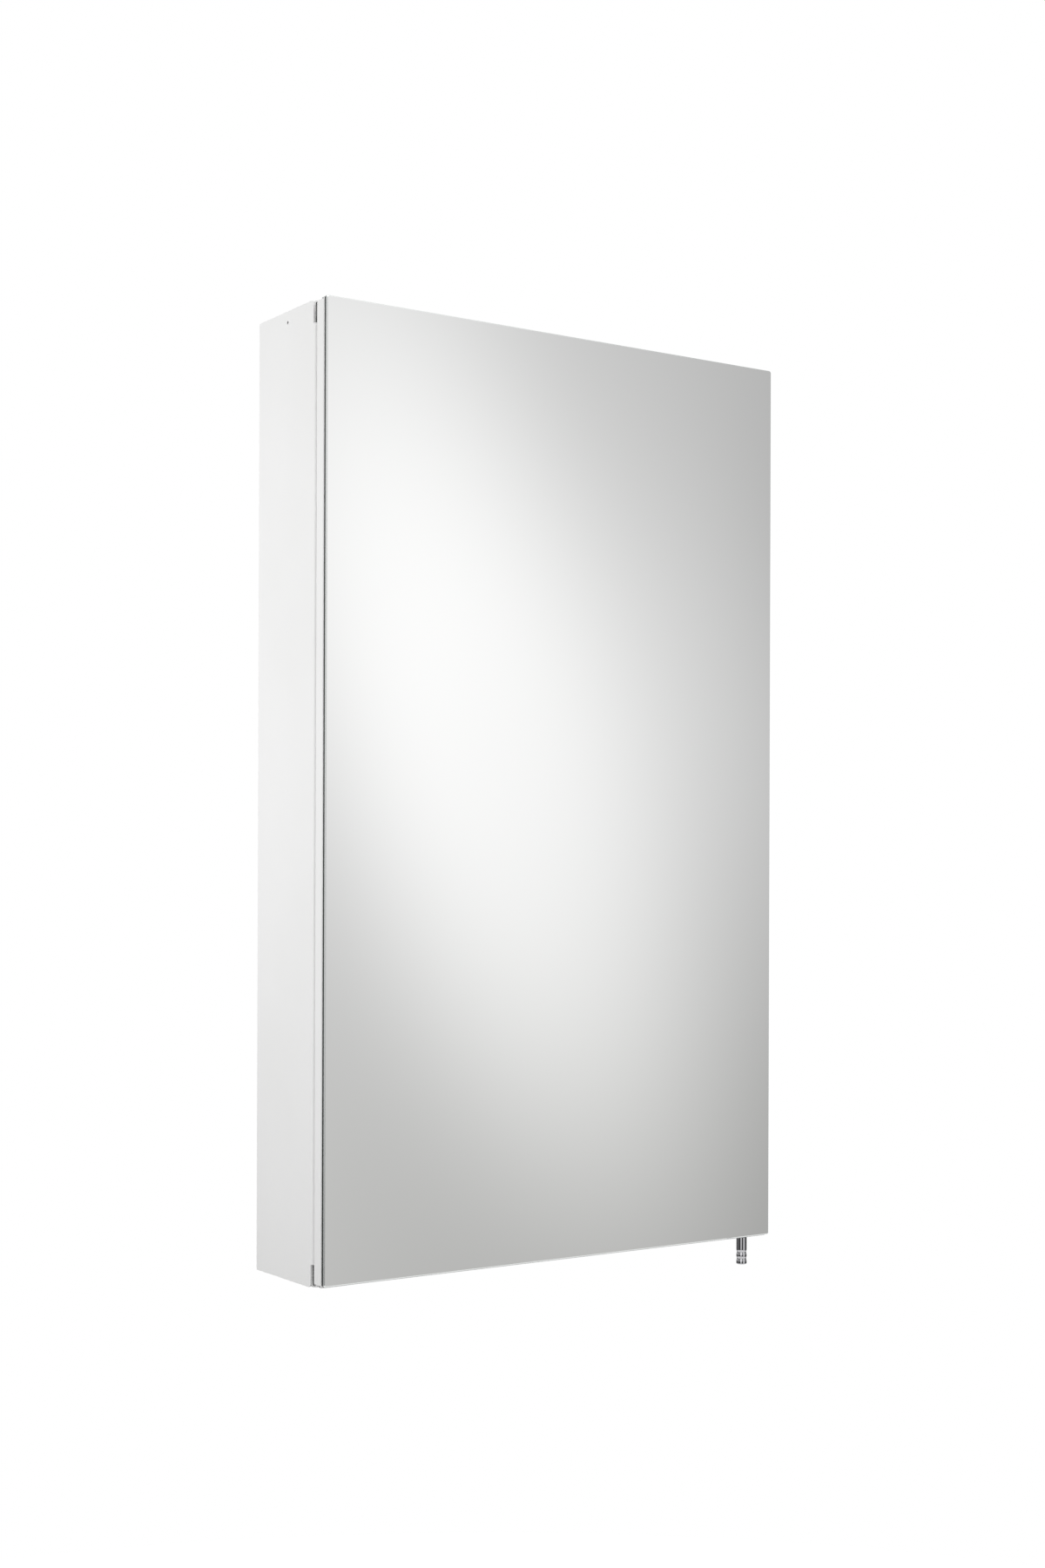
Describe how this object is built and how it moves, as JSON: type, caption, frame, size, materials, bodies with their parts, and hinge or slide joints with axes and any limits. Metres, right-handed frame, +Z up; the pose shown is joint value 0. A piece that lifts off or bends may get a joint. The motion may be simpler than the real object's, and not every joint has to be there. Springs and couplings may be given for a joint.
{
  "type": "medicine cabinet",
  "caption": "Wall-hung white steel medicine cabinet with an overlay mirror door on pivot hinges, shelves on slotted rails, a magnetic catch and a stub handle under the door.",
  "frame": {"origin": "centre of the back face, in the plane that rests on the wall", "axes": "+X to the viewer's right, +Y into the wall, +Z up; the door faces -Y"},
  "size_m": [0.35, 0.09, 0.6172],
  "materials": {
    "white_steel": "semi-gloss white powder coat",
    "zinc_plate": "zinc-plated sheet",
    "pin_steel": "turned steel",
    "screw_steel": "bright zinc",
    "catch_plastic": "moulded, fine texture",
    "magnet_black": "sintered ferrite",
    "buffer_rubber": "translucent soft rubber",
    "nylon": "natural nylon",
    "tape_foam": "white foam tape",
    "mirror_silver": "silvered float glass with ground edges",
    "handle_chrome": "polished chrome"
  },
  "bodies": {
    "cabinet": {"body_shell": "white_steel", "top_panel": "white_steel", "bottom_panel": "white_steel", "shelf_rail_left": "white_steel", "shelf_rail_right": "white_steel", "shelf_upper": "white_steel", "shelf_lower": "white_steel", "shelf_clips_upper": "zinc_plate", "shelf_clips_lower": "zinc_plate", "hinge_bracket_top": "zinc_plate", "hinge_bracket_bottom": "zinc_plate", "hinge_pin_top": "pin_steel", "hinge_pin_bottom": "pin_steel", "hinge_screws": "screw_steel", "hinge_nuts": "screw_steel", "catch_housing": "catch_plastic", "catch_magnet": "magnet_black", "catch_poles": "screw_steel", "door_buffers": "buffer_rubber"},
    "door": {"door_tray": "white_steel", "door_liner": "white_steel", "door_stiffeners": "zinc_plate", "hinge_bush_top": "nylon", "hinge_bush_bottom": "nylon", "bush_screws": "screw_steel", "mirror_tape": "tape_foam", "mirror_glass": "mirror_silver", "door_handle": "handle_chrome", "handle_screw": "screw_steel"}
  },
  "joints": [
    {"name": "door_swing", "type": "hinge", "parent": "cabinet", "child": "door", "pos_m": [-0.1711, -0.0826, 0], "axis": [0, 0, -1], "range_deg": [0, 110]}
  ]
}
